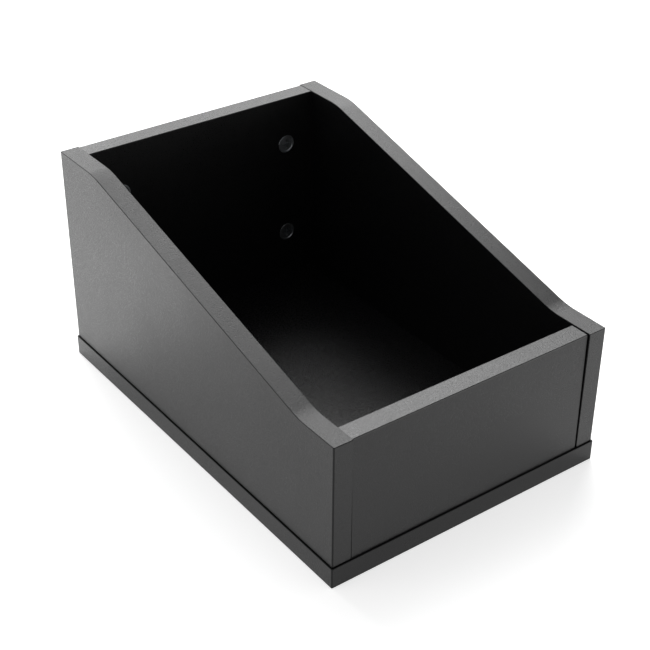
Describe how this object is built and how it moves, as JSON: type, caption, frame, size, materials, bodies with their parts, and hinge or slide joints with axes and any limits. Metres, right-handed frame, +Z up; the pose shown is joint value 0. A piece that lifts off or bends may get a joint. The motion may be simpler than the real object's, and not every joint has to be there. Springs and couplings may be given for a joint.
{
  "type": "record carrying case",
  "caption": "Open-topped black record box with sloping side panels, low front board, high rear board and a slightly wider base plate.",
  "frame": {"origin": "middle of the underside of the base", "axes": "+X to the right seen from the front, +Y from the low front towards the high rear, +Z up"},
  "size_m": [0.232, 0.338, 0.176],
  "materials": {
    "black_faced_board": "matt black melamine facing on a wood-based board, fine pearl texture",
    "black_edge_band": "matt black plastic edge band with a fine grain",
    "beech_dowel": "plain turned beech",
    "zinc_plated_steel": "bright zinc plating",
    "blackened_steel": "black phosphated screws",
    "zinc_casting": "raw die-cast zinc, slightly dull"
  },
  "bodies": {
    "box": {"base_board": "black_faced_board", "base_front_band": "black_edge_band", "base_rear_band": "black_edge_band", "base_left_band": "black_edge_band", "base_right_band": "black_edge_band", "left_side_board": "black_faced_board", "left_top_band": "black_edge_band", "left_front_band": "black_edge_band", "left_rear_band": "black_edge_band", "right_side_board": "black_faced_board", "right_top_band": "black_edge_band", "right_front_band": "black_edge_band", "right_rear_band": "black_edge_band", "front_board": "black_faced_board", "front_top_band": "black_edge_band", "rear_board": "black_faced_board", "rear_top_band": "black_edge_band", "front_dowels": "beech_dowel", "rear_dowels": "beech_dowel", "front_cam_bolts": "zinc_plated_steel", "rear_cam_bolts": "zinc_plated_steel", "base_screws": "blackened_steel"},
    "cam_front_left": {"front_left_cam": "zinc_casting"},
    "cam_front_right": {"front_right_cam": "zinc_casting"},
    "cam_rear_left_lower": {"rear_left_lower_cam": "zinc_casting"},
    "cam_rear_left_upper": {"rear_left_upper_cam": "zinc_casting"},
    "cam_rear_right_lower": {"rear_right_lower_cam": "zinc_casting"},
    "cam_rear_right_upper": {"rear_right_upper_cam": "zinc_casting"}
  },
  "joints": [
    {"name": "front_left_cam_turn", "type": "hinge", "parent": "box", "child": "cam_front_left", "pos_m": [-0.0755, -0.15225, 0.0635], "axis": [0, 1, 0], "range_deg": [0, 180]},
    {"name": "front_right_cam_turn", "type": "hinge", "parent": "box", "child": "cam_front_right", "pos_m": [0.0755, -0.15225, 0.0635], "axis": [0, 1, 0], "range_deg": [0, 180]},
    {"name": "rear_left_lower_cam_turn", "type": "hinge", "parent": "box", "child": "cam_rear_left_lower", "pos_m": [-0.0755, 0.152, 0.056], "axis": [0, -1, 0], "range_deg": [0, 180]},
    {"name": "rear_left_upper_cam_turn", "type": "hinge", "parent": "box", "child": "cam_rear_left_upper", "pos_m": [-0.0755, 0.152, 0.136], "axis": [0, -1, 0], "range_deg": [0, 180]},
    {"name": "rear_right_lower_cam_turn", "type": "hinge", "parent": "box", "child": "cam_rear_right_lower", "pos_m": [0.0755, 0.152, 0.056], "axis": [0, -1, 0], "range_deg": [0, 180]},
    {"name": "rear_right_upper_cam_turn", "type": "hinge", "parent": "box", "child": "cam_rear_right_upper", "pos_m": [0.0755, 0.152, 0.136], "axis": [0, -1, 0], "range_deg": [0, 180]}
  ]
}
